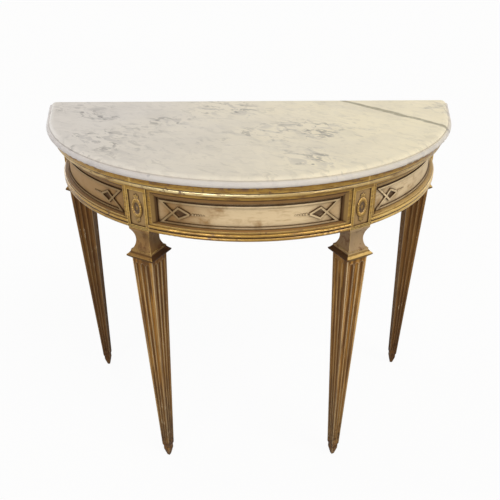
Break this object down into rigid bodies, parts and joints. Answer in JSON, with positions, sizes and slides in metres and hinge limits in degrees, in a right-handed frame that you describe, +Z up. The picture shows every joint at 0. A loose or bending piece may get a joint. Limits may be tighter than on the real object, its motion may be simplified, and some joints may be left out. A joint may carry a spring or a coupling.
{
  "type": "demilune table",
  "caption": "Half-round console table with a moulded marble slab on a carved, painted and gilded apron and square, tapered, fluted legs.",
  "frame": {"origin": "on the floor, under the centre of the marble slab's bounding box", "axes": "+X to the right seen from the front, +Y to the wall behind the table, +Z up; the bowed front faces -Y"},
  "size_m": [1.0542, 0.5329, 0.847],
  "materials": {
    "marble": "honed and worn, with soft grey veins",
    "gilt_wood": "worn water gilding over brown glaze",
    "painted_wood": "aged cream paint with brown glaze",
    "worn_wood": "worn gilding rubbed through to brown",
    "bare_wood": "bare, oxidised softwood"
  },
  "bodies": {
    "stand": {"rail_back": "bare_wood", "bearer": "bare_wood", "glue_blocks": "bare_wood", "tenon_pegs": "bare_wood", "rail_left": "painted_wood", "cornice_left": "gilt_wood", "base_moulding_left": "gilt_wood", "panel_frame_left": "gilt_wood", "fret_left": "gilt_wood", "beads_left": "gilt_wood", "rail_front": "painted_wood", "cornice_front": "gilt_wood", "base_moulding_front": "gilt_wood", "panel_frame_front": "gilt_wood", "fret_front": "gilt_wood", "beads_front": "gilt_wood", "rail_right": "painted_wood", "cornice_right": "gilt_wood", "base_moulding_right": "gilt_wood", "panel_frame_right": "gilt_wood", "fret_right": "gilt_wood", "beads_right": "gilt_wood", "block_front_left": "gilt_wood", "patera_front_left": "gilt_wood", "leg_front_left": "worn_wood", "block_front_right": "gilt_wood", "patera_front_right": "gilt_wood", "leg_front_right": "worn_wood", "block_back_left": "gilt_wood", "patera_back_left": "gilt_wood", "leg_back_left": "worn_wood", "block_back_right": "gilt_wood", "patera_back_right": "gilt_wood", "leg_back_right": "worn_wood"},
    "top": {"marble_top": "marble"}
  },
  "joints": [
    {"name": "top_lift", "type": "slide", "parent": "stand", "child": "top", "axis": [0, 0, 1], "range_m": [0, 0.12]}
  ]
}
